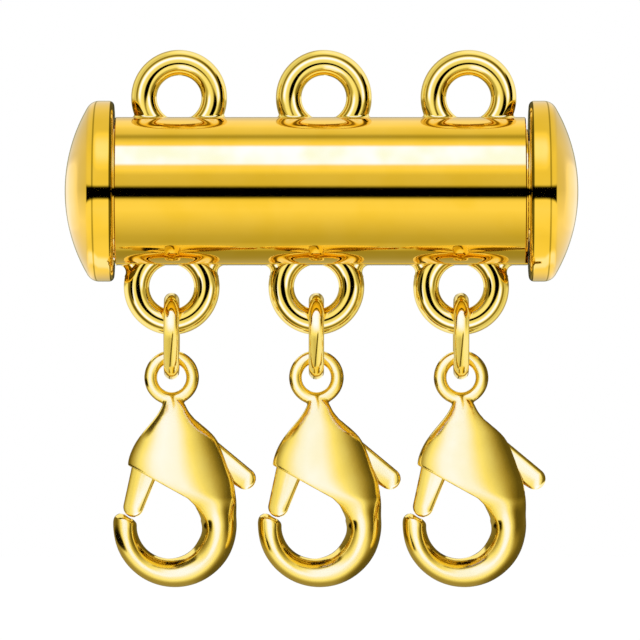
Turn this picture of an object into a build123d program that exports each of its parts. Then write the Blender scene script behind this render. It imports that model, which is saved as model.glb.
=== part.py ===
from build123d import *
import os
from math import acos, atan2, cos, radians, sin, sqrt

# Three-strand slide clasp with three lobster claws, in millimetres.
# The tube lies along X, the front faces -Y and the claws hang down along -Z.
# The origin is the centre of the middle upper loop, where the clasp hangs.

# Slide case
cap_span = 22.0
cap_diameter = 7.75
cap_depth = 2.12
cap_dome_radius = 7.1
cap_edge_radius = 0.6
cap_inner_radius = 0.18
plug_depth = 1.0
tube_diameter = 6.35
tube_wall = 0.45
slider_wall = 0.45
rib_width = 1.2
case_offset = -0.1

# Running and seating clearances
tube_clearance = 0.07
slot_clearance = 0.1
seat_gap = 0.04
link_gap = 0.05
pin_clearance = 0.05
lever_clearance = 0.07
sweep_clearance = 0.12

# Strand loops on the tubes
strand_count = 3
strand_pitch = 6.2
loop_outer = 4.12
loop_hole = 1.92
loop_land = 0.36
upper_loop_rise = 4.0
lower_loop_drop = 4.1
lower_row_offset = -0.32
foot_fillet = 0.3
foot_thickness = 0.9

# Jump rings and claw eyes
ring_outer = 3.72
ring_wire = 0.66
eye_outer = 2.35
eye_wire = 0.55

# Lobster claws
claw_reach = 6.33
hook_radius = 2.65
mouth_radius = 1.39
hook_shift = 0.14
mouth_shift = -0.1
mouth_drop = 0.03
head_thickness = 3.0
arm_thickness = 2.2
tip_thickness = 1.35
lever_thickness = 0.95
lever_edge = 0.2
lever_hub = 1.2
pin_diameter = 0.6
pin_length = 1.9
lever_travel_degrees = 25.0

# Sections of the head from the neck to the arm: side as shares of hook_radius,
# drop as shares of claw_reach, thickness as shares of head_thickness.
# columns: left side, left drop, right side, right drop, thickness
head_section_shares = [
    (-0.105, 0.130, 0.119, 0.130, 0.17),
    (-0.141, 0.177, 0.199, 0.171, 0.28),
    (-0.228, 0.248, 0.285, 0.237, 0.52),
    (-0.407, 0.342, 0.515, 0.330, 0.76),
    (-0.555, 0.423, 0.692, 0.401, 0.89),
    (-0.660, 0.509, 0.820, 0.502, 0.96),
    (-0.705, 0.597, 0.917, 0.611, 1.00),
    (-0.600, 0.699, 0.982, 0.685, 0.99),
    (-0.320, 0.773, 1.021, 0.753, 0.96),
    (-0.001, 0.834, 1.041, 0.817, 0.91),
    (0.279, 0.888, 1.048, 0.878, 0.84),
    (0.438, 0.946, 1.047, 0.939, 0.77),
]

# Sections that round off the hook's tip: turn in degrees from the arm,
# insets as shares of the tip's width, thickness as shares of tip_thickness.
# columns: turn, outer inset, inner inset, thickness
tip_section_shares = [
    (185.0, 0.00, 0.08, 0.95),
    (189.5, 0.10, 0.36, 0.74),
    (192.5, 0.24, 0.50, 0.40),
]

# Outline of the mouth under the cheek: side as shares of hook_radius, drop as
# shares of claw_reach. The first two points carry the straight cheek edge.
mouth_outline_shares = [
    (-0.950, 0.534),
    (0.264, 0.814),
    (0.376, 0.862),
    (0.452, 0.929),
    (0.480, 0.962),
    (0.200, 1.030),
    (-0.500, 0.930),
    (-1.200, 0.830),
]

# Rounds of the lever's outline: side as shares of hook_radius, drop as shares
# of claw_reach, radius as shares of lever_hub.
lever_round_shares = {
    "hub": (-0.065, 0.4005, 0.500),
    "gate_root": (-0.4325, 0.6275, 0.482),
    "gate_tip": (-0.614, 0.8745, 0.365),
    "thumb_root": (0.542, 0.489, 0.500),
    "thumb_tip": (1.190, 0.685, 0.382),
}
lever_arms = [
    ("hub", "gate_root"),
    ("gate_root", "gate_tip"),
    ("hub", "thumb_root"),
    ("thumb_root", "thumb_tip"),
]
hook_steps = 8

# Places that follow from the sizes
tube_radius = tube_diameter / 2
bore_radius = tube_radius - tube_wall
slider_radius = bore_radius - tube_clearance
slider_bore = slider_radius - slider_wall
axis_z = -upper_loop_rise
left_seat = case_offset - cap_span / 2 + cap_depth
right_seat = case_offset + cap_span / 2 - cap_depth
lower_loop_z = axis_z - lower_loop_drop
hole_radius = loop_hole / 2
rim_width = (loop_outer - loop_hole) / 2
loop_wire_radius = (rim_width ** 2 + (loop_land / 2) ** 2) / (2 * rim_width)
loop_ring_radius = loop_outer / 2 - loop_wire_radius
ring_top = lower_loop_z - hole_radius + link_gap + ring_wire
ring_z = ring_top - ring_outer / 2
eye_hole_radius = eye_outer / 2 - eye_wire
eye_z = ring_z - ring_outer / 2 + ring_wire + link_gap - eye_hole_radius
slot_width = lever_thickness + 2 * lever_clearance


def strand_places(row_offset):
    """X of each strand in a row, from left to right."""
    first = row_offset - strand_pitch * (strand_count - 1) / 2
    return [first + strand_pitch * n for n in range(strand_count)]


def rod_x(radius, left, right):
    """A round rod along the tube's axis."""
    rod = Rot(0, 90, 0) * Cylinder(radius, right - left)
    return Pos((left + right) / 2, 0, axis_z) * rod


def hoop(outer, wire):
    """A round-wire ring that faces the front."""
    return Rot(90, 0, 0) * Torus((outer - wire) / 2, wire / 2)


def strand_loop(x, z):
    """A round-wire loop with a narrow land drilled true in its hole."""
    ring = Rot(90, 0, 0) * Torus(loop_ring_radius, loop_wire_radius)
    drill = Rot(90, 0, 0) * Cylinder(hole_radius, 2 * loop_wire_radius)
    return Pos(x, 0, z) * (ring - drill)


def loop_foot(x, side):
    """The solder fillet on one side of a lower loop, between its rim and the rib."""
    rise = lower_loop_drop - tube_radius
    rim = loop_outer / 2 + foot_fillet
    reach = sqrt(rim ** 2 - (rise - foot_fillet) ** 2)
    corner = (side * reach, rise - foot_fillet)
    web = Polygon((0, 0), corner, (side * reach, rise), (0, rise), align=None)
    web = web - Pos(*corner) * Circle(foot_fillet)
    foot = extrude(Plane.XZ * web, foot_thickness / 2, both=True)
    drill = Rot(90, 0, 0) * Cylinder(loop_outer / 2 - rim_width / 2, foot_thickness)
    return Pos(x, 0, lower_loop_z) * (foot - drill)


def make_outer_tube():
    """The slotted tube with the upper loops."""
    left = left_seat + seat_gap
    right = right_seat - seat_gap - slot_clearance
    tube = rod_x(tube_radius, left, right)
    for x in strand_places(0):
        tube += strand_loop(x, 0)
    tube -= rod_x(bore_radius, left, right)
    width = rib_width + 2 * slot_clearance
    slot = Pos((left + right) / 2, 0, axis_z - tube_radius)
    return tube - slot * Box(right - left, width, tube_diameter)


def make_inner_tube():
    """The sliding tube with its rib and the lower loops."""
    left = left_seat + plug_depth + 2 * slot_clearance
    right = right_seat - seat_gap
    rib_left = left_seat + slot_clearance
    tube = rod_x(slider_radius, left, right)
    rib = Pos((rib_left + right) / 2, 0, axis_z - bore_radius)
    rib = rib * Box(right - rib_left, rib_width, tube_diameter)
    rib = rib & rod_x(tube_radius, rib_left, right)
    tube += rib - rod_x(slider_radius - slider_wall / 2, rib_left, right)
    for x in strand_places(lower_row_offset):
        tube += strand_loop(x, lower_loop_z)
        tube += loop_foot(x, -1)
        tube += loop_foot(x, 1)
    tube -= rod_x(slider_bore, left, right)
    return tube - rod_x(bore_radius, rib_left, left)


def make_cap(side, plug_radius):
    """A domed cap with the plug that seats it in its tube; side is -1 at the left."""
    block = Rectangle(cap_diameter / 2, cap_depth, align=(Align.MIN, Align.MIN))
    profile = block & (Pos(0, cap_depth - cap_dome_radius) * Circle(cap_dome_radius))
    rim = profile.vertices().sort_by(Axis.X)[-2:].sort_by(Axis.Y)[-1]
    profile = fillet(rim, cap_edge_radius)
    base = profile.vertices().sort_by(Axis.X)[-2:].sort_by(Axis.Y)[0]
    profile = fillet(base, cap_inner_radius)
    cap = revolve(Plane.XZ * profile, Axis.Z)
    cap += extrude(Circle(plug_radius), -plug_depth)
    seat = left_seat if side < 0 else right_seat
    return Pos(seat, 0, axis_z) * Rot(0, 90 * side, 0) * cap


def claw_point(side, drop):
    """A point of the claw's face, from shares, with the eye's centre at zero."""
    return Vector(side * hook_radius, -drop * claw_reach)


def hook_pair(turn):
    """Inner and outer points of the hook at a turn in degrees from the arm."""
    way = Vector(cos(radians(turn)), -sin(radians(turn)))
    inner = Vector(mouth_shift, -claw_reach - mouth_drop) + way * mouth_radius
    outer = Vector(hook_shift, -claw_reach) + way * hook_radius
    return inner, outer


def claw_section(inner, outer, thickness):
    """An oval section of the claw between two points of its face."""
    middle = (inner + outer) * 0.5
    across = outer - inner
    plane = Plane(
        origin=(middle.X, 0, middle.Y),
        x_dir=(across.X, 0, across.Y),
        z_dir=(across.Y, 0, -across.X),
    )
    return plane * Ellipse(across.length / 2, thickness / 2)


def claw_form():
    """Neck, head, arm and hook in one flowing form."""
    sections = []
    for left, left_drop, right, right_drop, thick in head_section_shares:
        inner = claw_point(left, left_drop)
        outer = claw_point(right, right_drop)
        sections.append(claw_section(inner, outer, thick * head_thickness))
    for step in range(hook_steps + 1):
        share = step / hook_steps
        inner, outer = hook_pair(180 * share)
        thick = arm_thickness + (tip_thickness - arm_thickness) * share
        sections.append(claw_section(inner, outer, thick))
    for turn, outer_inset, inner_inset, thick in tip_section_shares:
        inner, outer = hook_pair(turn)
        across = outer - inner
        start = inner + across * inner_inset
        end = outer - across * outer_inset
        sections.append(claw_section(start, end, thick * tip_thickness))
    return loft(sections)


def lever_round(name, growth=0.0, turn=0.0):
    """Centre and radius of one round of the lever, turned about its pin."""
    side, drop, share = lever_round_shares[name]
    hub = claw_point(*lever_round_shares["hub"][:2])
    centre = hub + (claw_point(side, drop) - hub).rotate(Axis.Z, turn)
    return centre, share * lever_hub + growth


def lever_plan():
    """The lever's outline in the plane of the claw's face."""
    plan = Sketch()
    for first, last in lever_arms:
        centre_a, radius_a = lever_round(first)
        centre_b, radius_b = lever_round(last)
        span = centre_b - centre_a
        lean = acos((radius_a - radius_b) / span.length)
        heading = atan2(span.Y, span.X)
        corners = []
        for centre, radius, sign in (
            (centre_a, radius_a, 1),
            (centre_b, radius_b, 1),
            (centre_b, radius_b, -1),
            (centre_a, radius_a, -1),
        ):
            angle = heading + sign * lean
            corners.append((centre.X + radius * cos(angle), centre.Y + radius * sin(angle)))
        plan += Polygon(*corners, align=None)
        plan += Pos(centre_a.X, centre_a.Y) * Circle(radius_a)
        plan += Pos(centre_b.X, centre_b.Y) * Circle(radius_b)
    return plan


def lever_sweep():
    """The room that the lever needs over its travel, as one rounded outline."""
    rounds = []
    for name in lever_round_shares:
        for turn in (0.0, lever_travel_degrees / 2, lever_travel_degrees):
            centre, radius = lever_round(name, sweep_clearance, turn)
            rounds.append(Pos(centre.X, centre.Y) * Circle(radius).edge())
    return make_hull(rounds)


def pivot_rod(diameter, length):
    """A rod along the claw's pivot."""
    centre, _ = lever_round("hub")
    return Pos(centre.X, 0, centre.Y) * Rot(90, 0, 0) * Cylinder(diameter / 2, length)


def make_claw_body():
    """One claw with its eye at zero: eye, slotted head, hook and pivot pin."""
    form = claw_form()
    mouth = Polygon(*[tuple(claw_point(*row))[:2] for row in mouth_outline_shares], align=None)
    form -= extrude(Plane.XZ * mouth, head_thickness, both=True)
    form -= extrude(Plane.XZ * lever_sweep(), slot_width / 2, both=True)
    form += pivot_rod(pin_diameter, pin_length)
    return form + hoop(eye_outer, eye_wire)


def make_claw_lever():
    """One lever at rest, with the claw's eye at zero."""
    plate = extrude(Plane.XZ * lever_plan(), lever_thickness / 2, both=True)
    faces = plate.faces().filter_by(Axis.Y)
    plate = fillet(faces.edges(), lever_edge)
    return plate - pivot_rod(pin_diameter + 2 * pin_clearance, 2 * lever_thickness)


def save(name, shape):
    """Write one piece to its file."""
    export_step(shape, "parts/" + name + ".step")
    print(name, "volume", round(shape.volume, 3), "mm3")


os.makedirs("parts", exist_ok=True)
save("outer_tube", make_outer_tube())
save("outer_cap", make_cap(-1, bore_radius - seat_gap))
save("inner_tube", make_inner_tube())
save("inner_cap", make_cap(1, slider_bore - seat_gap))
jump_ring = Rot(0, 0, 90) * hoop(ring_outer, ring_wire)
claw_body = make_claw_body()
claw_lever = make_claw_lever()
for number, place in enumerate(strand_places(lower_row_offset), start=1):
    save("jump_ring_" + str(number), Pos(place, 0, ring_z) * jump_ring)
    save("claw_body_" + str(number), Pos(place, 0, eye_z) * claw_body)
    save("claw_lever_" + str(number), Pos(place, 0, eye_z) * claw_lever)
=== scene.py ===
# %% [markdown]
# # A three-strand slide clasp in polished gold
# The clasp is a slotted tube with a domed cap, a second tube that slides into it, three loops above
# and three below, and a small lobster claw on a jump ring under each lower loop. Its solids come
# from CAD. This notebook dresses them: it builds a smooth, softly edged mesh in the place of each
# solid, gives it a gold finish and lights it as a studio would.

import math

import bmesh
import bpy
import numpy as np
from mathutils import Matrix, Vector


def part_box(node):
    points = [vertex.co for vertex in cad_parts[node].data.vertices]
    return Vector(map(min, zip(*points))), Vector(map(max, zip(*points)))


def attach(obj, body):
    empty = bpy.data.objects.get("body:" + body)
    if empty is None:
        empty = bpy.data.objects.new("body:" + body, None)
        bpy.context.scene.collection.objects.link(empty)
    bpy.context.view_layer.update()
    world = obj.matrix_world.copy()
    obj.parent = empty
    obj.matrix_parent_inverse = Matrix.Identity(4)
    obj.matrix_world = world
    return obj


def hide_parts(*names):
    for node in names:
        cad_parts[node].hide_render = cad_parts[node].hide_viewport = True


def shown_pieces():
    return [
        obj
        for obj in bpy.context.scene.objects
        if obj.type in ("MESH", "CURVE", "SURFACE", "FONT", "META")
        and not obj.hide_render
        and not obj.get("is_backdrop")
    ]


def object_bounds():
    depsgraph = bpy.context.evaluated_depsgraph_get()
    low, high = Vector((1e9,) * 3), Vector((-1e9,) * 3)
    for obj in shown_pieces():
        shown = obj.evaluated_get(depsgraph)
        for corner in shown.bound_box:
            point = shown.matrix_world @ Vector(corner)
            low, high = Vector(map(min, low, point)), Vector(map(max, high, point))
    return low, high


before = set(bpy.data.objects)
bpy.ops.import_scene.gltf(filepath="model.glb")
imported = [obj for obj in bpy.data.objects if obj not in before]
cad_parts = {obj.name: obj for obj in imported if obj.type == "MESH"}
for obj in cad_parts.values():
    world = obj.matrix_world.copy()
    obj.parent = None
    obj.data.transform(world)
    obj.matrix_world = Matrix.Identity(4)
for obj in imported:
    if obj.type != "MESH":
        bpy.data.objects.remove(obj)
cad_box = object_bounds()
MM = 0.001

# %% [markdown]
# ## Sizes
# Whatever the frame can tell is read from it, so that the looks follow the solids. The rest are
# sizes that a box doesn't show, such as a wall or a rounding.


# %% Sizes read from the frame
def box_mm(node):
    """Lowest and highest corner of a solid in millimetres."""
    low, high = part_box(node)
    return [round(v / MM, 3) for v in low], [round(v / MM, 3) for v in high]


tube_low, tube_high = box_mm("outer_tube")
inner_low, inner_high = box_mm("inner_tube")
cap_low, cap_high = box_mm("outer_cap")
ring_low, ring_high = box_mm("jump_ring_1")
claw_top = box_mm("claw_body_1")[1][2]

TUBE_RADIUS = tube_high[1]
SLIDER_RADIUS = inner_high[1]
CAP_RADIUS = cap_high[1]
AXIS_Z = (cap_low[2] + cap_high[2]) / 2
LOOP_RADIUS = tube_high[2]
LOWER_LOOP_Z = inner_low[2] + LOOP_RADIUS
RING_OUTER = ring_high[1]
RING_WIRE = (ring_high[0] - ring_low[0]) / 2
RING_Z = (ring_low[2] + ring_high[2]) / 2
LOWER_PLACES = [sum(b[0] for b in box_mm(f"jump_ring_{n}")) / 2 for n in (1, 2, 3)]
PITCH = LOWER_PLACES[1] - LOWER_PLACES[0]
UPPER_PLACES = [-PITCH, 0.0, PITCH]
print("tube radius", TUBE_RADIUS, "pitch", round(PITCH, 3), "axis", AXIS_Z)

# %% Sizes that the boxes don't show
WALL = 0.45
BORE_RADIUS = TUBE_RADIUS - WALL
SLIDER_BORE = SLIDER_RADIUS - WALL
RIB_WIDTH = 1.2
SLOT_GAP = 0.1
SEAT_GAP = 0.04
CAP_DEPTH = 2.12
PLUG_DEPTH = 1.0
DOME_RADIUS = 7.1
CAP_EDGE = 0.6
CAP_INNER_EDGE = 0.22
PLUG_EDGE = 0.08
ROUND_STEPS = 192
CORNER = math.radians(30.0)
SAME_POINT = 1e-8
LEFT_SEAT = tube_low[0] - SEAT_GAP
RIGHT_SEAT = inner_high[0] + SEAT_GAP
HOLE_RADIUS = 0.96
LAND = 0.36
RIM = LOOP_RADIUS - HOLE_RADIUS
LOOP_WIRE = (RIM**2 + (LAND / 2) ** 2) / (2 * RIM)
LOOP_RING = LOOP_RADIUS - LOOP_WIRE
MID_SLIDER = SLIDER_RADIUS - WALL / 2
print("loop wire", round(2 * LOOP_WIRE, 3), "mm thick")

# %% [markdown]
# ## Two small tools for node trees
# Materials, the studio light and the ring maker are all node trees. One class wraps a socket, so
# that a sum on sockets is a sum in Python, and knows the few shapes that the studio's maps are
# drawn with. The other adds any node with its settings and the values or links of its sockets.


# %% Sockets as numbers
class Wire:
    """A socket that can be used in sums."""

    def __init__(self, bench, socket):
        self.bench = bench
        self.socket = socket

    def maths(self, operation, *values):
        return self.bench.add("ShaderNodeMath", dict(enumerate(values)), {"operation": operation})

    def __add__(self, other):
        return self.maths("ADD", self, other)

    def __sub__(self, other):
        return self.maths("SUBTRACT", self, other)

    def __rsub__(self, other):
        return self.maths("SUBTRACT", other, self)

    def __mul__(self, other):
        return self.maths("MULTIPLY", self, other)

    def __truediv__(self, other):
        return self.maths("DIVIDE", self, other)

    __radd__ = __add__
    __rmul__ = __mul__

    def edge(self, low, high):
        """0 below low, 1 above high and an S-curve between."""
        settings = {"interpolation_type": "SMOOTHSTEP"}
        return self.bench.add("ShaderNodeMapRange", {0: self, 1: low, 2: high}, settings)

    def band(self, low, high, soft):
        """1 from low to high, with soft edges outside them."""
        return self.edge(low - soft, low) * self.edge(high + soft, high)

    def curve(self, stops):
        """A level that follows (degrees, level) stops."""
        low, high, top = stops[0][0], stops[-1][0], max(level for _, level in stops)
        share = self.bench.add("ShaderNodeMapRange", {0: self, 1: low, 2: high})
        placed = [((at - low) / (high - low), level / top) for at, level in stops]
        return self.bench.add("ShaderNodeValToRGB", {0: share}, {"stops": placed}) * top

    def under(self, cloth, depth=1.0):
        """This level with black cloth hung where cloth is 1; depth 1 leaves nothing there."""
        return self * (1.0 - cloth * depth)


class Bench:
    """Adds nodes to one tree."""

    def __init__(self, tree):
        self.tree = tree

    def add(self, kind, sockets=None, settings=None, output=0):
        """A node with its settings, then its sockets; gives back one of its outputs."""
        node = self.tree.nodes.new(kind)
        for name, value in (settings or {}).items():
            if name == "stops":
                ramp = node.color_ramp
                while len(ramp.elements) < len(value):
                    ramp.elements.new(1.0)
                for element, (position, level) in zip(ramp.elements, value):
                    element.position = position
                    element.color = (level, level, level, 1.0)
            else:
                setattr(node, name, value)
        for name, value in (sockets or {}).items():
            if isinstance(value, Wire):
                self.tree.links.new(value.socket, node.inputs[name])
            else:
                node.inputs[name].default_value = value
        return Wire(self, node.outputs[output]) if node.outputs else None

    def mix(self, share, low, high):
        """A colour between two others."""
        sockets = {"Factor": share, 6: low, 7: high}
        return self.add("ShaderNodeMix", sockets, {"data_type": "RGBA"}, output=2)

    def parts(self, vector):
        """The three parts of a vector."""
        first = self.add("ShaderNodeSeparateXYZ", {0: vector})
        return [Wire(self, socket) for socket in first.socket.node.outputs]


def blank_bench(owner):
    """A bench on the emptied node tree of a material or a world."""
    owner.use_nodes = True
    owner.node_tree.nodes.clear()
    return Bench(owner.node_tree)


# %% [markdown]
# ## The gold finishes
# The tubes, caps and loops are plated and buffed to a mirror: what shows is mostly reflection, with
# hair-fine buffing lines along the tube and a faint unevenness of the plate. The jump rings are
# drawn wire, polished the same way. The claws are cast and tumbled, so their skin is softer and
# their reflections are broad. Colour, roughness and the normal all vary a little.


# %% The gold of the case, the rings and the claws
EVEN = (1.0, 1.0, 1.0)
ALONG_TUBE = (0.35, 9.0, 9.0)
FAR_ALONG_TUBE = (0.1, 2.2, 2.2)
CLOUD_SCALE, HAIR_SCALE, WISP_SCALE = 0.55, 1.6, 1.0
CLOUD_EDGE = (0.35, 0.7)
LINE_HEIGHT = 0.25
BUMP_STRENGTH = 0.35
BUMP_DEPTH = 0.01


def place(bench, scale, offset=(0.0, 0.0, 0.0)):
    """Object coordinates in millimetres times a scale for each axis."""
    where = bench.add("ShaderNodeTexCoord", output="Object")
    scale = tuple(s / MM for s in scale)
    return bench.add("ShaderNodeMapping", {0: where, 1: offset, 3: scale})


def noise(bench, where, scale, detail):
    """Soft noise from 0 to 1."""
    return bench.add("ShaderNodeTexNoise", {"Vector": where, "Scale": scale, "Detail": detail})


def gold(name, tone, deep_tone, rough, rough_spread, grain, lines, skin):
    """A gold finish: tones, roughness and its spread, grain, buffing lines, skin relief."""
    material = bpy.data.materials.new(name)
    bench = blank_bench(material)
    cloud = noise(bench, place(bench, EVEN), CLOUD_SCALE, 2.0)
    pores = noise(bench, place(bench, EVEN, (7.0, 3.0, 5.0)), grain, 4.0)
    hairs = noise(bench, place(bench, ALONG_TUBE), HAIR_SCALE, 5.0)
    wisps = noise(bench, place(bench, FAR_ALONG_TUBE, (2.0, 0.0, 4.0)), WISP_SCALE, 2.0)
    roughness = rough + rough_spread * (pores - 0.5) + lines * (hairs - 0.5) * wisps
    height = skin * pores + lines * LINE_HEIGHT * hairs
    bump = {"Strength": BUMP_STRENGTH, "Distance": BUMP_DEPTH * MM, "Height": height}
    metal = {"Metallic": 1.0, "Roughness": roughness}
    metal["Base Color"] = bench.mix(cloud.edge(*CLOUD_EDGE), tone, deep_tone)
    metal["Normal"] = bench.add("ShaderNodeBump", bump)
    shader = bench.add("ShaderNodeBsdfPrincipled", metal)
    bench.add("ShaderNodeOutputMaterial", {"Surface": shader})
    return material


RICH_GOLD = ((0.94, 0.59, 0.05, 1.0), (0.92, 0.565, 0.035, 1.0))
PALE_GOLD = ((0.94, 0.72, 0.145, 1.0), (0.92, 0.69, 0.12, 1.0))
case_gold = gold("case_gold_polish", *RICH_GOLD, 0.05, 0.02, 3.0, 0.05, 0.1)
loop_gold = gold("loop_gold_polish", *PALE_GOLD, 0.05, 0.02, 3.0, 0.02, 0.1)
ring_gold = gold("ring_gold_polish", *PALE_GOLD, 0.09, 0.03, 3.0, 0.02, 0.2)
claw_gold = gold("claw_gold_tumbled", *PALE_GOLD, 0.12, 0.05, 2.2, 0.0, 0.8)
print("finishes", [m.name for m in (case_gold, loop_gold, ring_gold, claw_gold)])

# %% [markdown]
# ## Helpers for solid meshes
# Turned parts are spun from a profile, and sawn parts are pushed out from an outline. Solids are
# joined and cut with the manifold solver, which keeps a closed mesh closed.


# %% Turn, push out, settle, join
def in_scene(name, data):
    """A new object, linked to the scene."""
    made = bpy.data.objects.new(name, data)
    bpy.context.scene.collection.objects.link(made)
    return made


def mesh_object(name, points, faces):
    """A mesh object from points in millimetres, with its faces turned outwards."""
    mesh = bpy.data.meshes.new(name)
    mesh.from_pydata([Vector(p) * MM for p in points], [], faces)
    work = bmesh.new()
    work.from_mesh(mesh)
    bmesh.ops.remove_doubles(work, verts=work.verts, dist=SAME_POINT)
    bmesh.ops.recalc_face_normals(work, faces=work.faces)
    work.to_mesh(mesh)
    work.free()
    return in_scene(name, mesh)


def skin_faces(rows, sides, closed=False):
    """Faces between rows of points, with an end face on each side unless the rows close up."""
    faces = []
    for n in range(rows if closed else rows - 1):
        a, b = n * sides, (n + 1) % rows * sides
        for m in range(sides):
            faces.append([a + m, a + (m + 1) % sides, b + (m + 1) % sides, b + m])
    if not closed:
        last = (rows - 1) * sides
        faces += [list(range(sides)), list(range(last, last + sides))]
    return faces


def turned(name, profile, closed=False):
    """Spin (radius, place along the axis) pairs round the tube's axis."""
    steps = ROUND_STEPS
    points, rows, faces = [], [], []
    for radius, along in profile:
        if radius == 0:
            rows.append([len(points)] * steps)
            points.append((along, 0.0, AXIS_Z))
            continue
        rows.append(list(range(len(points), len(points) + steps)))
        for n in range(steps):
            turn = 2 * math.pi * n / steps
            points.append((along, radius * math.cos(turn), AXIS_Z + radius * math.sin(turn)))
    following = rows[1:] + (rows[:1] if closed else [])
    for low, high in zip(rows, following):
        for n in range(steps):
            m = (n + 1) % steps
            faces.append(list(dict.fromkeys((low[n], low[m], high[m], high[n]))))
    return mesh_object(name, points, faces)


def tube_rod(name, radius, left, right):
    """A plain round rod on the tube's axis."""
    return turned(name, [(0, left), (radius, left), (radius, right), (0, right)])


def pushed_out(name, outline, start, end, axis):
    """A prism: an outline in the plane across an axis, from start to end along it."""
    points = []
    for along in (start, end):
        for a, b in outline:
            points.append((along, a, b) if axis == "X" else (a, along, b))
    return mesh_object(name, points, skin_faces(2, len(outline)))


def settle(made):
    """Put the mesh that an object's modifiers make in place of the object's own."""
    graph = bpy.context.evaluated_depsgraph_get()
    mesh = bpy.data.meshes.new_from_object(made.evaluated_get(graph))
    made.modifiers.clear()
    made.data = mesh
    mesh.name = made.name
    return made


def combine(made, tool, operation):
    """Join a tool to a solid, or cut with it, and delete the tool."""
    step = made.modifiers.new("combine", "BOOLEAN")
    step.operation = operation
    step.solver = "MANIFOLD"
    step.object = tool
    settle(made)
    bpy.data.objects.remove(tool)
    return made


def soften_edges(made, width):
    """Round the edges that are sharper than a corner's angle."""
    step = made.modifiers.new("edges", "BEVEL")
    step.width = width * MM
    step.segments = 3
    step.limit_method = "ANGLE"
    step.angle_limit = CORNER
    return settle(made)


def smooth(made):
    """Smooth shading that keeps true corners."""
    made.data.shade_smooth()
    made.data.set_sharp_from_angle(angle=CORNER)
    step = made.modifiers.new("normals", "WEIGHTED_NORMAL")
    step.keep_sharp = True
    return settle(made)


def arc(centre, radius, start, end, steps):
    """Points on an arc, with its ends; angles in degrees."""
    turns = np.radians(np.linspace(start, end, steps + 1))
    return [(centre[0] + radius * math.cos(t), centre[1] + radius * math.sin(t)) for t in turns]


def cos_sin(degrees):
    turn = math.radians(degrees)
    return math.cos(turn), math.sin(turn)


# %% [markdown]
# ## Rings of wire
# The strand loops and the jump rings are all one thing: round wire bent to a ring. A Geometry Nodes
# tree sweeps a round profile along a circle and sets a row of copies at the strand pitch. The loops
# were drilled true after soldering, which leaves a narrow flat land in the hole: points that lie
# nearer to the centre than the hole's radius are moved out to it.


# %% The ring maker
RING_STEPS, WIRE_STEPS = 144, 64
RING_INPUTS = {
    "Ring radius": "Float", "Wire radius": "Float", "Hole radius": "Float", "Pitch": "Float",
    "Count": "Int", "First place": "Vector", "Turn": "Vector", "Material": "Material",
}


def ring_maker():
    tree = bpy.data.node_groups.new("wire_rings", "GeometryNodeTree")
    face = tree.interface
    face.new_socket(name="Geometry", in_out="OUTPUT", socket_type="NodeSocketGeometry")
    for name, kind in RING_INPUTS.items():
        face.new_socket(name=name, in_out="INPUT", socket_type="NodeSocket" + kind)
    bench = Bench(tree)
    given = tree.nodes.new("NodeGroupInput")
    asked = {s.name: Wire(bench, s) for s in given.outputs if s.name}
    circle = "GeometryNodeCurvePrimitiveCircle"
    path = bench.add(circle, {"Resolution": RING_STEPS, "Radius": asked["Ring radius"]})
    profile = bench.add(circle, {"Resolution": WIRE_STEPS, "Radius": asked["Wire radius"]})
    ring = bench.add("GeometryNodeCurveToMesh", {"Curve": path, "Profile Curve": profile})
    x, y, z = bench.parts(bench.add("GeometryNodeInputPosition"))
    reach = x.maths("SQRT", x * x + y * y)
    grown = reach.maths("MAXIMUM", reach, asked["Hole radius"]) / reach
    drilled = bench.add("ShaderNodeCombineXYZ", {0: x * grown, 1: y * grown, 2: z})
    ring = bench.add("GeometryNodeSetPosition", {"Geometry": ring, "Position": drilled})
    ring = bench.add("GeometryNodeTransform", {"Geometry": ring, "Rotation": asked["Turn"]})
    step = bench.add("ShaderNodeCombineXYZ", {0: asked["Pitch"]})
    line = {"Count": asked["Count"], "Start Location": asked["First place"], "Offset": step}
    row = bench.add("GeometryNodeMeshLine", line)
    rings = bench.add("GeometryNodeInstanceOnPoints", {"Points": row, "Instance": ring})
    rings = bench.add("GeometryNodeRealizeInstances", {"Geometry": rings})
    dressed = {"Geometry": rings, "Material": asked["Material"]}
    bench.add("NodeGroupOutput", {0: bench.add("GeometryNodeSetMaterial", dressed)})
    return tree


ring_tree = ring_maker()


def wire_rings(name, ring, wire, hole, first, count, turn, material):
    """A row of wire rings; sizes in millimetres."""
    made = mesh_object(name, [(0, 0, 0)], [])
    step = made.modifiers.new("rings", "NODES")
    step.node_group = ring_tree
    first = [v * MM for v in first]
    given = (ring * MM, wire * MM, hole * MM, PITCH * MM, count, first, turn, material)
    values = dict(zip(RING_INPUTS, given))
    for item in ring_tree.interface.items_tree:
        if item.in_out == "INPUT":
            step[item.identifier] = values[item.name]
    return settle(made)


FACING_FRONT = (math.pi / 2, 0.0, 0.0)
FACING_SIDE = (0.0, math.pi / 2, 0.0)
print("ring tree has", len(ring_tree.nodes), "nodes")

# %% [markdown]
# ## The slotted tube
# The outer tube has a parallel-sided slot sawn along its underside. Its section is a C, drawn once
# and pushed out along the axis. Buffing leaves a hair of rounding on every edge, which catches the
# light.


# %% Push out the C
TUBE_RIGHT = tube_high[0]
TUBE_STEPS = 240
TUBE_EDGE = 0.1


def slotted_outline():
    half = RIB_WIDTH / 2 + SLOT_GAP
    outer_stop = math.degrees(math.asin(half / TUBE_RADIUS))
    inner_stop = math.degrees(math.asin(half / BORE_RADIUS))
    centre = (0.0, AXIS_Z)
    outline = arc(centre, TUBE_RADIUS, -90 + outer_stop, 270 - outer_stop, TUBE_STEPS)
    outline += arc(centre, BORE_RADIUS, 270 - inner_stop, -90 + inner_stop, TUBE_STEPS)
    return outline


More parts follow.
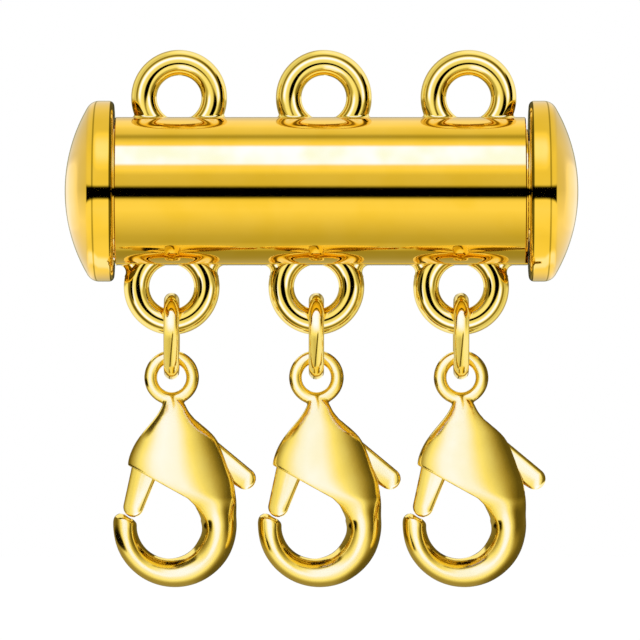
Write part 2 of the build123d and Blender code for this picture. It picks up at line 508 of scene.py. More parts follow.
outer_tube = pushed_out("slotted_tube", slotted_outline(), tube_low[0], TUBE_RIGHT, "X")
soften_edges(outer_tube, TUBE_EDGE)
print("slotted tube", len(outer_tube.data.polygons), "faces")

# %% [markdown]
# ## The upper loops and their solder
# Each loop runs into the tube, with a small concave bead of solder all round the joint. A ball that
# rolls in the corner touches both surfaces at once, and its path gives the bead: its centre lies
# where the wire and the tube, both grown by the ball's radius, meet.


# %% Roll the solder bead
BEAD = 0.11
BEAD_ROUNDS, BEAD_STEPS = 72, 8
BEAD_BITE = 1.03
BEAD_HEART = 1.25


def unit(way):
    return way / np.linalg.norm(way)


def solder_bead(x, side):
    """A closed bead round one foot of an upper loop; side is -1 for the left foot."""
    points = []
    for n in range(BEAD_ROUNDS):
        turn = 2 * math.pi * n / BEAD_ROUNDS
        reach = LOOP_RING + (LOOP_WIRE + BEAD) * math.cos(turn)
        depth = (LOOP_WIRE + BEAD) * math.sin(turn)
        height = AXIS_Z + math.sqrt((TUBE_RADIUS + BEAD) ** 2 - depth**2)
        lean = math.asin(height / reach)
        ball_at = np.array((side * reach * math.cos(lean), depth, height))
        wire_at = LOOP_RING * np.array((side * math.cos(lean), 0.0, math.sin(lean)))
        to_wire = unit(wire_at - ball_at)
        to_tube = unit(np.array((0.0, -depth, AXIS_Z - height)))
        for m in range(BEAD_STEPS + 1):
            way = to_wire * (1 - m / BEAD_STEPS) + to_tube * m / BEAD_STEPS
            touch = BEAD_BITE if m in (0, BEAD_STEPS) else 1.0
            points.append(ball_at + unit(way) * BEAD * touch)
        points.append(ball_at + (to_wire + to_tube) * BEAD * BEAD_HEART)
    points = [p + np.array((x, 0.0, 0.0)) for p in points]
    return mesh_object("bead", points, skin_faces(BEAD_ROUNDS, BEAD_STEPS + 2, closed=True))


def strand_loops(name, places, z, solder, radius, left, right):
    """Three loops with solder at both feet, cut clear of the inside of their tube."""
    sizes, first = (LOOP_RING, LOOP_WIRE, HOLE_RADIUS), (places[0], 0.0, z)
    loops = wire_rings(name, *sizes, first, len(places), FACING_FRONT, loop_gold)
    for x in places:
        for side in (-1, 1):
            combine(loops, solder(x, side), "UNION")
    combine(loops, tube_rod("inside", radius, left - 1, right + 1), "DIFFERENCE")
    return smooth(loops)


inside = ((TUBE_RADIUS + BORE_RADIUS) / 2, tube_low[0], TUBE_RIGHT)
upper_loops = strand_loops("upper_loops", UPPER_PLACES, 0.0, solder_bead, *inside)
smooth(outer_tube)
print("upper loops", len(upper_loops.data.polygons), "faces")

# %% [markdown]
# ## The slider
# The inner tube runs in the outer one. A rib on its underside fills the slot and comes flush with
# the outer tube, and the lower loops are soldered to the rib, so they travel with it.


# %% Turn the slider and add its rib
SLEEVE_EDGE = 0.05
RIB_EDGE = 0.04
RIB_STEPS = 24


def hollow(name, outer, inner, left, right):
    """A turned sleeve with rounded ends."""
    left, right = left + SLEEVE_EDGE, right - SLEEVE_EDGE
    outer, inner = outer - SLEEVE_EDGE, inner + SLEEVE_EDGE
    profile = []
    for n, spot in enumerate(((right, outer), (left, outer), (left, inner), (right, inner))):
        profile += arc(spot, SLEEVE_EDGE, 90 * n, 90 * n + 90, 3)
    return turned(name, [(radius, along) for along, radius in profile], closed=True)


SLIDER_LEFT = LEFT_SEAT + PLUG_DEPTH + 2 * SLOT_GAP
RIB_LEFT = inner_low[0]
SLIDER_RIGHT = inner_high[0]
inner_tube = hollow("slider_tube", SLIDER_RADIUS, SLIDER_BORE, SLIDER_LEFT, SLIDER_RIGHT)
half = RIB_WIDTH / 2
stop = math.degrees(math.asin(half / TUBE_RADIUS))
outline = arc((0.0, AXIS_Z), TUBE_RADIUS, 270 - stop, 270 + stop, RIB_STEPS)
outline += [(half, AXIS_Z - MID_SLIDER), (-half, AXIS_Z - MID_SLIDER)]
rib = soften_edges(pushed_out("rib", outline, RIB_LEFT, SLIDER_RIGHT, "X"), RIB_EDGE)
combine(rib, tube_rod("plug_room", BORE_RADIUS, RIB_LEFT - 1, SLIDER_LEFT), "DIFFERENCE")
combine(inner_tube, rib, "UNION")
print("slider with its rib", len(inner_tube.data.polygons), "faces")

# %% [markdown]
# ## The lower loops and their solder feet
# Under the tube the solder has drawn out to a small foot on each side of a loop. Each foot is part
# of a ring with an oval section, whose inner side is the fillet between the rim and the rib.


# %% Model the solder feet
FOOT_FILLET = 0.3
FOOT_HALF = 0.45
FOOT_DEPTH = 0.5
FOOT_START, FOOT_OVERLAP = 70.0, 20.0
FOOT_STEPS, FOOT_SIDES = 28, 40


def solder_foot(x, side):
    """One foot: an arc of a ring round the fillet's centre, closed at both ends."""
    rise = AXIS_Z - TUBE_RADIUS - LOWER_LOOP_Z - FOOT_FILLET
    reach = math.sqrt((LOOP_RADIUS + FOOT_FILLET) ** 2 - rise**2)
    centre = np.array((reach, rise))
    span = 360.0 + math.degrees(math.atan2(-rise, -reach)) + FOOT_OVERLAP - FOOT_START
    points = []
    for n in range(FOOT_STEPS + 1):
        way = np.array(cos_sin(FOOT_START + span * n / FOOT_STEPS))
        for m in range(FOOT_SIDES):
            angle = 2 * math.pi * m / FOOT_SIDES
            across = FOOT_HALF * math.sin(angle)
            spot = centre + way * (FOOT_FILLET + FOOT_DEPTH * (1 - math.cos(angle)))
            points.append((x + side * spot[0], across, LOWER_LOOP_Z + spot[1]))
    return mesh_object("foot", points, skin_faces(FOOT_STEPS + 1, FOOT_SIDES))


inside = (MID_SLIDER, RIB_LEFT, SLIDER_RIGHT)
lower_loops = strand_loops("lower_loops", LOWER_PLACES, LOWER_LOOP_Z, solder_foot, *inside)
smooth(inner_tube)
print("lower loops", len(lower_loops.data.polygons), "faces")

# %% [markdown]
# ## The domed caps
# Both caps are turned from one profile: a plug that seats in the tube, a flat face, a rim with a
# small inner and a large outer rounding, and a shallow dome.


# %% Turn the caps
def cap_profile(plug_radius):
    """(radius, height over the seat) from the plug's middle to the dome's top."""
    centre = CAP_DEPTH - DOME_RADIUS
    edge_out = CAP_RADIUS - CAP_EDGE
    edge_up = centre + math.sqrt((DOME_RADIUS - CAP_EDGE) ** 2 - edge_out**2)
    meet = math.degrees(math.atan2(edge_up - centre, edge_out))
    profile = [(0.0, -PLUG_DEPTH)]
    profile += arc((plug_radius - PLUG_EDGE, PLUG_EDGE - PLUG_DEPTH), PLUG_EDGE, -90, 0, 4)
    profile += [(plug_radius, 0.0)]
    inner = (CAP_RADIUS - CAP_INNER_EDGE, CAP_INNER_EDGE)
    profile += arc(inner, CAP_INNER_EDGE, -90, 0, 10)
    profile += arc((edge_out, edge_up), CAP_EDGE, 0, meet, 16)
    profile += arc((0.0, centre), DOME_RADIUS, meet, 90, 28)[1:-1]
    return profile + [(0.0, CAP_DEPTH)]


def cap(name, seat, side, plug_radius):
    profile = [(r, seat + side * h) for r, h in cap_profile(plug_radius)]
    return smooth(turned(name, profile))


left_cap = cap("left_cap", LEFT_SEAT, -1, BORE_RADIUS - SEAT_GAP)
right_cap = cap("right_cap", RIGHT_SEAT, 1, SLIDER_BORE - SEAT_GAP)
print("caps", len(left_cap.data.polygons), "faces each")

# %% [markdown]
# ## The jump rings
# Closed rings of drawn wire, seen edge on from the front.

# %% Make the jump rings
jump_rings = []
for number, x in enumerate(LOWER_PLACES, start=1):
    sizes = (RING_OUTER - RING_WIRE, RING_WIRE, 0.0)
    spot = (x, 0.0, RING_Z)
    ring = wire_rings(f"wire_ring_{number}", *sizes, spot, 1, FACING_SIDE, ring_gold)
    jump_rings.append(smooth(ring))
print("jump rings", len(jump_rings))

# %% [markdown]
# ## The lobster claws
# A claw is one casting: an eye, a neck that swells into a head, and an arm that thins as it curls
# to the tip of the hook. Its shape is a row of oval sections. Their two side points and thickness
# are given as shares, and a spline through them gives the many sections between. Round the hook the
# oval has a ridge, and its inner side falls away as a slope, which darkens it in an even line.

# %% The claw's sections
EYE_OUTER = 1.175
EYE_WIRE = 0.275
EYE_Z = claw_top - EYE_OUTER
REACH = 6.33
HOOK = 2.65
MOUTH = 1.39
HOOK_SHIFT = 0.14
MOUTH_SHIFT = -0.1
MOUTH_DROP = 0.03
HEAD_THICK = 3.0
ARM_THICK = 2.2
TIP_THICK = 1.35
THINNING = 1.5
FLANK = 0.64
HEAD = [  # left side, left drop, right side, right drop, thickness, straight flank
    (-0.105, 0.130, 0.119, 0.130, 0.185, 0.20),
    (-0.141, 0.177, 0.199, 0.171, 0.300, 0.45),
    (-0.228, 0.248, 0.285, 0.237, 0.485, 0.80),
    (-0.407, 0.342, 0.515, 0.330, 0.725, 1.00),
    (-0.555, 0.423, 0.692, 0.401, 0.880, 1.00),
    (-0.660, 0.509, 0.820, 0.502, 0.950, 1.00),
    (-0.705, 0.597, 0.917, 0.611, 0.990, 1.00),
    (-0.640, 0.705, 0.982, 0.685, 1.000, 1.00),
    (-0.370, 0.790, 1.021, 0.753, 0.970, 1.00),
    (-0.020, 0.842, 1.041, 0.817, 0.885, 0.90),
    (0.279, 0.888, 1.048, 0.878, 0.780, 0.50),
    (0.438, 0.946, 1.047, 0.939, 0.734, 0.15),
]
ARCH = 0.6
RIDGE_EDGE = 0.25
RIDGE = [  # crest's place across, share of the slope
    (0.00, 0.00), (0.00, 0.20), (0.05, 0.40), (0.08, 0.50), (0.10, 0.55), (0.08, 0.55),
    (0.02, 0.48), (-0.08, 0.28), (-0.20, 0.05),
]
TIP = [(185.0, 0.00, 0.02, 0.97), (189.5, 0.07, 0.16, 0.80), (193.0, 0.22, 0.34, 0.42)]
MOUTH_OUTLINE = [  # side, drop
    (-0.950, 0.534), (0.264, 0.814), (0.376, 0.862), (0.452, 0.929), (0.480, 0.962),
    (0.200, 1.030), (-0.500, 0.900), (-1.200, 0.800),
]
CLAW_SECTIONS, CLAW_SIDES = 220, 96
THIN_FLANK = 0.7


def on_claw(side, drop):
    """A spot from its shares of the hook's radius and of the way down to its centre."""
    return side * HOOK, -drop * REACH


def hook_pair(turn):
    """Inner and outer point of the hook at a turn in degrees from the arm."""
    cos, sin = cos_sin(turn)
    way = np.array((cos, -sin))
    inner = np.array((MOUTH_SHIFT, -REACH - MOUTH_DROP)) + way * MOUTH
    outer = np.array((HOOK_SHIFT, -REACH)) + way * HOOK
    return inner, outer


def claw_rows():
    """Rows of inner x, inner z, outer x, outer z, thickness, straight flank, crest, ridge."""
    rows = []
    for left, left_drop, right, right_drop, thick, flank in HEAD:
        ends = on_claw(left, left_drop) + on_claw(right, right_drop)
        rows.append((*ends, thick * HEAD_THICK, flank * FLANK, 0.0, 0.0))
    for step, (crest, ridge) in enumerate(RIDGE):
        share = step / (len(RIDGE) - 1)
        inner, outer = hook_pair(180 * share)
        thick = ARM_THICK + (TIP_THICK - ARM_THICK) * share**THINNING
        rows.append((*inner, *outer, thick, 0.0, crest, ridge))
    for turn, outer_inset, inner_inset, thick in TIP:
        inner, outer = hook_pair(turn)
        across = outer - inner
        ends = (*(inner + across * inner_inset), *(outer - across * outer_inset))
        rows.append((*ends, thick * TIP_THICK, 0.0, RIDGE[-1][0], 0.0))
    return np.array(rows)


def spline_rows(rows, count):
    """Many rows on a natural cubic spline through a few, spaced by the length between them."""
    middles = (rows[:, 0:2] + rows[:, 2:4]) / 2
    gaps = np.linalg.norm(np.diff(middles, axis=0), axis=1)
    at = np.concatenate(([0.0], np.cumsum(gaps)))
    size = len(rows)
    left = np.eye(size)
    right = np.zeros_like(rows)
    slopes = np.diff(rows, axis=0) / gaps[:, None]
    for n in range(1, size - 1):
        left[n, n - 1 : n + 2] = (gaps[n - 1], 2 * (gaps[n - 1] + gaps[n]), gaps[n])
        right[n] = 6 * (slopes[n] - slopes[n - 1])
    bends = np.linalg.solve(left, right)
    result = []
    for place_at in np.linspace(0.0, at[-1], count):
        n = min(int(np.searchsorted(at, place_at, side="right")) - 1, size - 2)
        a, b, gap = at[n + 1] - place_at, place_at - at[n], gaps[n]
        result.append(
            (bends[n] * a**3 + bends[n + 1] * b**3) / (6 * gap)
            + (rows[n] / gap - bends[n] * gap / 6) * a
            + (rows[n + 1] / gap - bends[n + 1] * gap / 6) * b
        )
    return np.array(result)


claw_spline = spline_rows(claw_rows(), CLAW_SECTIONS)
print("claw sections", len(claw_spline))


# %% Skin the sections
def claw_form(name):
    """The closed skin over the sections, with the eye's centre at zero."""
    turns = (np.arange(CLAW_SIDES) + 0.5) * 2 * math.pi / CLAW_SIDES
    points = []
    for inner_x, inner_z, outer_x, outer_z, thick, flank, crest, ridge in claw_spline:
        middle_x, middle_z = (inner_x + outer_x) / 2, (inner_z + outer_z) / 2
        half_x, half_z = (outer_x - inner_x) / 2, (outer_z - inner_z) / 2
        flank = min(max(flank, 0.0), THIN_FLANK * thick / 2)
        arch = ARCH * min(flank / FLANK, 1.0)
        for t in turns:
            cos, sin = math.cos(t), math.sin(t)
            across = crest + (1 - crest * math.copysign(1, cos)) * cos
            rise = abs(sin) * (1 - arch) + sin * sin * arch
            if cos < 0:
                rise = rise * (1 - ridge) + (1 + (1 - RIDGE_EDGE) * cos) * ridge
            depth = math.copysign(flank + (thick / 2 - flank) * rise, sin)
            points.append((middle_x + half_x * across, depth, middle_z + half_z * across))
    return mesh_object(name, points, skin_faces(CLAW_SECTIONS, CLAW_SIDES))


# %% [markdown]
# ## The lever
# The lever is a flat stamping: a hub on the pivot, a gate that closes the mouth and a thumb tab.
# Each arm is the hull round two discs with rounded edges, which gives it tangent sides. The slot
# through the head is the hull round all the discs over the travel.

# %% Discs, hulls and the lever
LEVER_HUB = 1.2
LEVER_THICK = 0.95
LEVER_EDGE = 0.2
LEVER_CROWN = 0.035
LEVER_GAP = 0.07
SWEEP_GAP = 0.07
TRAVEL = 25.0
PIN, PIN_GAP, PIN_LENGTH, BORE_LENGTH = 0.3, 0.05, 1.9, 2.0
DISC_STEPS = 72
CROWN_RINGS = (0.75, 0.5, 0.25)
FLAT_ENOUGH = 0.002
ROUNDS = {  # side, drop, radius share
    "hub": (-0.065, 0.4005, 0.500),
    "gate_root": (-0.4325, 0.6275, 0.482),
    "gate_tip": (-0.614, 0.8745, 0.365),
    "thumb_root": (0.542, 0.489, 0.500),
    "thumb_tip": (1.190, 0.685, 0.382),
}
ARMS = [("hub", "gate_root", "gate_tip"), ("hub", "thumb_root", "thumb_tip")]


def round_of(name, growth=0.0, turn=0.0):
    """Centre and radius of one disc of the lever, turned about the pivot."""
    hub = np.array(on_claw(*ROUNDS["hub"][:2]))
    x, z = np.array(on_claw(*ROUNDS[name][:2])) - hub
    cos, sin = cos_sin(turn)
    spot = hub + np.array((x * cos - z * sin, x * sin + z * cos))
    return spot, ROUNDS[name][2] * LEVER_HUB + growth


def disc_points(centre, radius, half, edge):
    """Points on a disc whose rim is rounded."""
    rings = [(radius, half - edge)]
    if edge > 0:
        flat = radius - edge
        rings = arc((flat, half - edge), edge, 0, 90, 6)
        rings += [(flat * share, half + LEVER_CROWN * (1 - share**2)) for share in CROWN_RINGS]
    points = []
    for out, depth in rings:
        for sign in (-1, 1):
            for n in range(DISC_STEPS):
                t = 2 * math.pi * n / DISC_STEPS
                x, z = centre[0] + out * math.cos(t), centre[1] + out * math.sin(t)
                points.append((x, sign * depth, z))
    return points


def hull(name, points):
    """The tightest closed skin round some points."""
    made = mesh_object(name, points, [])
    work = bmesh.new()
    work.from_mesh(made.data)
    result = bmesh.ops.convex_hull(work, input=work.verts)
    loose = [v for v in result["geom_interior"] if isinstance(v, bmesh.types.BMVert)]
    bmesh.ops.delete(work, geom=loose, context="VERTS")
    bmesh.ops.dissolve_limit(work, angle_limit=FLAT_ENOUGH, verts=work.verts, edges=work.edges)
    bmesh.ops.recalc_face_normals(work, faces=work.faces)
    work.to_mesh(made.data)
    work.free()
    return made


def pivot(name, radius, length):
    """A round pin across the head."""
    centre, _ = round_of("hub")
    return hull(name, disc_points(centre, radius, length / 2, 0.0))


def claw_lever(name):
    lever = None
    for names in ARMS:
        for first, last in zip(names, names[1:]):
            points = disc_points(*round_of(first), LEVER_THICK / 2, LEVER_EDGE)
            points += disc_points(*round_of(last), LEVER_THICK / 2, LEVER_EDGE)
            arm = hull(f"{name}_{last}", points)
            lever = arm if lever is None else combine(lever, arm, "UNION")
    combine(lever, pivot("bore", PIN + PIN_GAP, BORE_LENGTH), "DIFFERENCE")
    lever.name = name
    return lever


# %% [markdown]
# ## From cut solid to casting
# The form is cut for the mouth and the lever, and the eye and pin are joined to it. A casting has
# no knife edges, so the solid is then remade on a fine voxel grid and smoothed a little. Each
# corner gets a small rounding, and the eye flows into the neck.

# %% Cast one claw
VOXEL = 0.045
CALM_SHARE, CALM_ROUNDS = 0.5, 5
SWEEP_TURNS = (0.0, TRAVEL / 2, TRAVEL)


def claw_body(name):
    body = claw_form(name)
    mouth = [on_claw(*spot) for spot in MOUTH_OUTLINE]
    combine(body, pushed_out("mouth", mouth, -HEAD_THICK, HEAD_THICK, "Y"), "DIFFERENCE")
    points = []
    for spot in ROUNDS:
        for turn in SWEEP_TURNS:
            disc = round_of(spot, SWEEP_GAP, turn)
            points += disc_points(*disc, LEVER_THICK / 2 + LEVER_GAP, 0.0)
    combine(body, hull("room", points), "DIFFERENCE")
    combine(body, pivot("pin", PIN, PIN_LENGTH), "UNION")
    sizes = (EYE_OUTER - EYE_WIRE, EYE_WIRE, 0.0)
    eye = wire_rings("eye", *sizes, (0, 0, 0), 1, FACING_FRONT, claw_gold)
    combine(body, eye, "UNION")
    remesh = body.modifiers.new("voxels", "REMESH")
    remesh.mode = "VOXEL"
    remesh.voxel_size = VOXEL * MM
    remesh.use_smooth_shade = True
    calm = body.modifiers.new("calm", "SMOOTH")
    calm.factor = CALM_SHARE
    calm.iterations = CALM_ROUNDS
    return settle(body)


first_body = claw_body("claw_casting")
first_lever = smooth(claw_lever("claw_gate"))
print("claw", len(first_body.data.polygons), "faces, lever", len(first_lever.data.polygons))

# %% Set the claws on their rings
claws, levers = [], []
for number, x in enumerate(LOWER_PLACES, start=1):
    shift = Matrix.Translation(Vector((x, 0.0, EYE_Z)) * MM)
    for source, kind, made in ((first_body, "casting", claws), (first_lever, "gate", levers)):
        copy = in_scene(f"claw_{kind}_{number}", source.data.copy())
        copy.data.transform(shift)
        made.append(copy)
for source in (first_body, first_lever):
    bpy.data.objects.remove(source)
print("claws", [c.name for c in claws])

# %% [markdown]
# ## Finish and bodies
# Each mesh gets its gold, stands for its solid and rides on that solid's body, so the slider
# slides, the claws swing and the gates open.


# %% Dress and mount the pieces
def mount(piece, material, body, node):
    piece.data.materials.clear()
    piece.data.materials.append(material)
    for face in piece.data.polygons:
        face.material_index = 0
    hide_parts(node)
    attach(piece, body)


for piece, gold_of_it, body, node in (
    (outer_tube, case_gold, "case", "outer_tube"),
    (upper_loops, loop_gold, "case", "outer_tube"),
    (left_cap, case_gold, "case", "outer_cap"),
    (inner_tube, case_gold, "slider", "inner_tube"),
    (lower_loops, loop_gold, "slider", "inner_tube"),
    (right_cap, case_gold, "slider", "inner_cap"),
):
    mount(piece, gold_of_it, body, node)
for n, (ring, claw, lever) in enumerate(zip(jump_rings, claws, levers), start=1):
    mount(ring, ring_gold, f"drop_{n}", f"jump_ring_{n}")
    mount(claw, claw_gold, f"drop_{n}", f"claw_body_{n}")
    mount(lever, claw_gold, f"lever_{n}", f"claw_lever_{n}")

# %% [markdown]
# ## The studio
# Polished gold shows the room round it, so to light it is to draw the room. A photographer sets
# white boxes and black flags for one kind of piece after another and puts the shots together. Here
# each kind has a tent of its own: a great ball round the clasp whose inside glows by a map of
# directions. Light linking shows a tent to its own pieces alone, and the world lights only the
# floor and the white behind.


# %% Shapes on a tent's map
DEGREES = 180 / math.pi
NEVER_ZERO = 0.0001


def patch(u, v, centre, radii, lean, soft):
    """1 inside a leaning oval, with a soft rim."""
    cos, sin = cos_sin(lean)
    along = ((u - centre[0]) * cos + (v - centre[1]) * sin) / radii[0]
    across = ((v - centre[1]) * cos - (u - centre[0]) * sin) / radii[1]
    return u.maths("SQRT", along * along + across * across).edge(1 + soft, 1 - soft)


def quarter(u, v, u_edge, v_edge):
    """1 in one corner of the map."""
    return u.edge(*u_edge) * v.edge(*v_edge)


def blend(low, high, share):
    """Low where the share is 0 and high where it is 1."""
    return low + (high - low) * share


def flat_map(right, back, up):
    """Degrees off the camera's line, and their parts to the right and up."""
    off = back.maths("ARCCOSINE", 0.0 - back) * DEGREES
    stretch = off / (back.maths("SQRT", right * right + up * up) + NEVER_ZERO)
    return off, right * stretch, up * stretch


# %% [markdown]
# The tube's tent has a long white box above the camera and a long black flag level with it, for a
# white band and a black line along the tube. A second flag behind darkens its outline, and dark
# cloth beside the ends draws the seam where a cap meets the tube. The caps' tents have a lamp above
# and one below, a bright card behind the dome and cloth where the rim turns into the dome.

# %% Tents for the tube and the caps
TUBE_STOPS = [
    (-180, 0.05), (-172, 0.05), (-165, 0.5), (-140, 0.48), (-127, 0.39), (-109, 0.38), (-102, 0.7),
    (-94, 0.69), (-87, 0.56), (-75, 0.61), (-60, 0.76), (-43, 0.95), (-30, 1.08), (-18, 1.06),
    (-12, 0.85), (8, 0.74), (24, 0.8), (35, 1.2), (78, 1.15), (86, 0.83), (92, 0.46), (95, 0.47),
    (101, 0.82), (116, 1.0), (126, 1.16), (138, 1.08), (152, 0.8), (165, 0.7), (172, 0.05),
    (180, 0.05),
]
CAP_STOPS = [
    (-180, 0.4), (-150, 0.7), (-130, 1.0), (-118, 1.1), (-80, 1.05), (-60, 1.0), (-46, 1.08),
    (-24, 1.25), (-10, 1.1), (2, 0.92), (40, 0.95), (60, 0.86), (100, 0.85), (130, 0.92),
    (180, 0.8),
]
# All in degrees: a band is (from, to, softness), and an edge is (none, full).
FLAG, TUBE_FLAG_SOFT, CAP_FLAG_SOFT = (-8.5, 3.2), 6.5, 4.5
TUBE_BOX = (47, 68, 10)
END_CLOTH = (62, 80, 8)
LOW_LAMP, LOW_LAMP_LEAN, LOW_LAMP_EDGE = (-112, -101, 11), 0.28, (125, 95)
TOP_LAMP = ((-2, 54), (34, 18), 0, 0.8)
DOME_CARD, DOME_CARD_EDGE = (144, 154, 14), (36, 10)
DOME_EDGE = (85, 125)
SEAM_EDGE = (-20, -36)
CORNER_CLOTH = (44, 51, 8)
FLAG_EDGE = (114, 100)
BEHIND = (0.955, 0.99)  # shares of a way that point away from the camera


def tube_map(right, back, up):
    """Roll is 0 to the camera, 90 up and 180 behind; tilt is how far a way leans to an end."""
    roll = up.maths("ARCTAN2", up, 0.0 - back) * DEGREES
    tilt = right.maths("ABSOLUTE", right.maths("ARCSINE", right)) * DEGREES
    level = roll.curve(TUBE_STOPS) + roll.band(*TUBE_BOX) * 1.9
    return level.under(roll.band(*FLAG, TUBE_FLAG_SOFT)).under(tilt.band(*END_CLOTH), 0.85)


def cap_map(side):
    """The map for the left cap (-1) or the right cap (1)."""

    def paint(right, back, up):
        _, out, v = flat_map(right * side, back, up)
        low_lamp = (v - out * LOW_LAMP_LEAN).band(*LOW_LAMP) * out.edge(*LOW_LAMP_EDGE)
        card = out.band(*DOME_CARD) * v.maths("ABSOLUTE", v).edge(*DOME_CARD_EDGE)
        level = v.curve(CAP_STOPS).under(out.edge(*DOME_EDGE), 0.15)
        level = level + low_lamp * 0.9 + patch(out, v, *TOP_LAMP) + card * 0.9
        level = level.under(out.edge(*SEAM_EDGE), 0.88).under(out.band(*CORNER_CLOTH), 0.55)
        level = level.under(v.band(*FLAG, CAP_FLAG_SOFT) * out.edge(*FLAG_EDGE))
        return level.under(back.edge(*BEHIND), 0.6)

    return paint


# %% [markdown]
# The loops' tent is drawn round the camera's line: a black flag beside it, gold and then white
# beyond, a thin dark ring and a pale rim. Each loop is then ringed by a fine black line. The lower
# loops were shot upside down, so their tent is the same one turned half round, with its flags moved
# a little. The claws have a broad soft box over the camera that fades to black on both sides, one
# below that fades outwards, a black flag far to the left for the outside of the hook, and a dark
# arc above with a pale card beyond it for the hook's inner side.

# %% Tents for the loops, the jump rings and the claws
LOOP_ABOVE = [
    (0, 0.9), (22, 0.95), (31, 1.7), (38, 2.6), (47, 2.4), (55, 1.0), (62, 0.3), (73, 0.25),
    (82, 0.85), (96, 1.35), (112, 1.6), (126, 1.45), (140, 0.85), (180, 0.8),
]
LOOP_BELOW = [
    (0, 0.7), (18, 1.2), (36, 1.25), (50, 0.6), (62, 0.45), (75, 0.55), (90, 1.05), (105, 1.0),
    (118, 0.5), (150, 0.55), (180, 0.6),
]
LOOP_FLAGS = {
    1: [((11, -6), (20, 9.5), 0, 0.2), ((76, 15), (13, 36), 0, 0.2)],
    -1: [((-10, -4), (21, 9.5), 0, 0.2), ((49, 0), (11, 19), 0, 0.2)],
}
RING_ABOVE = [
    (-180, 0.25), (-140, 0.5), (-120, 0.75), (-100, 1.4), (-60, 2.0), (-30, 2.5), (5, 2.5),
    (40, 2.0), (55, 1.3), (64, 0.65), (85, 0.62), (100, 0.85), (125, 0.6), (160, 0.35), (180, 0.4),
]
RING_BELOW = [
    (-180, 0.3), (-150, 0.5), (-120, 0.85), (-60, 0.8), (-20, 0.68), (2, 0.8), (30, 1.25),
    (50, 1.38), (100, 1.38), (122, 1.2), (138, 0.15), (155, 0.5), (180, 0.4),
]
CLAW_ABOVE = [
    (-180, 0.25), (-120, 0.2), (-100, 0.15), (-86, 0.26), (-72, 0.55), (-60, 1.0), (-48, 1.55),
    (-36, 2.1), (-24, 2.25), (0, 2.05), (12, 1.6), (24, 1.05), (36, 0.8), (48, 0.5), (60, 0.24),
    (72, 0.12), (100, 0.12), (180, 0.2),
]
CLAW_BELOW = [
    (0, 2.2), (30, 1.9), (50, 1.6), (70, 1.38), (84, 1.05), (96, 0.78), (108, 0.5), (120, 0.38),
    (180, 0.3),
]
LEVER_ACROSS = [
    (-180, 0.2), (-120, 0.25), (-80, 0.6), (-50, 0.8), (-22, 0.95), (-8, 1.4), (4, 2.1), (16, 2.3),
    (28, 1.1), (40, 0.36), (60, 0.18), (180, 0.1),
]
LOOP_HORIZON, RING_HORIZON, CLAW_HORIZON = (-8, 6), (-10, 36), (-40, -4)
RIGHT_CLOTH, RIGHT_CLOTH_EDGE = (58, 80, 8), (15, 50)
LEFT_CLOTH, LEFT_CLOTH_EDGE = (80, 92), (10, -40)
STREAK, STREAK_EDGE = (-20, -5, 9), (-13, -27)
RING_LINE, RING_LINE_LEAN, RING_LINE_EDGE = (15, 27, 9), 0.5, (16, 2)
RING_TOP_EDGE, CLAW_TOP_EDGE = (85, 135), (90, 125)
CLAW_RIGHT_EDGE = (20, 80)
ARC, ARC_SIDES, ARC_EDGE = (79, 95, 8), (-0.6, 1.9), (5, 25)
ARC_CARD, ARC_CARD_LEVEL = (108, 150, 9), 1.3
HOOK_FLAG = ((-98, -20), (41, 16), 8, 0.25)
LEVER_UPPER_LEFT = ((10, -20), (20, 55))
LEVER_LOWER_RIGHT = ((0, 25), (-25, -50))


def loop_map(turn):
    """The map for the upper loops (1) or, turned half round, for the lower ones (-1)."""

    def paint(right, back, up):
        off, u, v = flat_map(right * turn, back, up * turn)
        level = blend(off.curve(LOOP_BELOW), off.curve(LOOP_ABOVE), v.edge(*LOOP_HORIZON))
        level = level.under(off.band(*RIGHT_CLOTH) * u.edge(*RIGHT_CLOTH_EDGE), 0.5)
        level = level.under(off.edge(*LEFT_CLOTH) * u.edge(*LEFT_CLOTH_EDGE), 0.4)
        level = level + u.band(*STREAK) * v.edge(*STREAK_EDGE) * 0.9
        for flag in LOOP_FLAGS[turn]:
            level = level.under(patch(u, v, *flag))
        return level

    return paint


def ring_map(right, back, up):
    _, u, v = flat_map(right, back, up)
    level = blend(u.curve(RING_BELOW), u.curve(RING_ABOVE), v.edge(*RING_HORIZON))
    line = (u - v * RING_LINE_LEAN).band(*RING_LINE) * v.edge(*RING_LINE_EDGE)
    return level.under(v.edge(*RING_TOP_EDGE), 0.6).under(line, 0.85)


def claw_map(right, back, up):
    off, u, v = flat_map(right, back, up)
    below = off.curve(CLAW_BELOW).under(u.edge(*CLAW_RIGHT_EDGE), 0.65)
    level = blend(below, u.curve(CLAW_ABOVE), v.edge(*CLAW_HORIZON))
    level = level.under(v.edge(*CLAW_TOP_EDGE), 0.5)
    side = u.maths("MAXIMUM", u * ARC_SIDES[0], u * ARC_SIDES[1])
    upper = (v - side).edge(*ARC_EDGE)
    level = level.under(off.band(*ARC) * upper, 0.94)
    level = blend(level, ARC_CARD_LEVEL, off.band(*ARC_CARD) * upper)
    return level.under(patch(u, v, *HOOK_FLAG), 0.99)


def lever_map(right, back, up):
    _, u, v = flat_map(right, back, up)
    lamps = quarter(u, v, *LEVER_UPPER_LEFT) * 0.45 + quarter(u, v, *LEVER_LOWER_RIGHT) * 1.6
    return u.curve(LEVER_ACROSS) + lamps


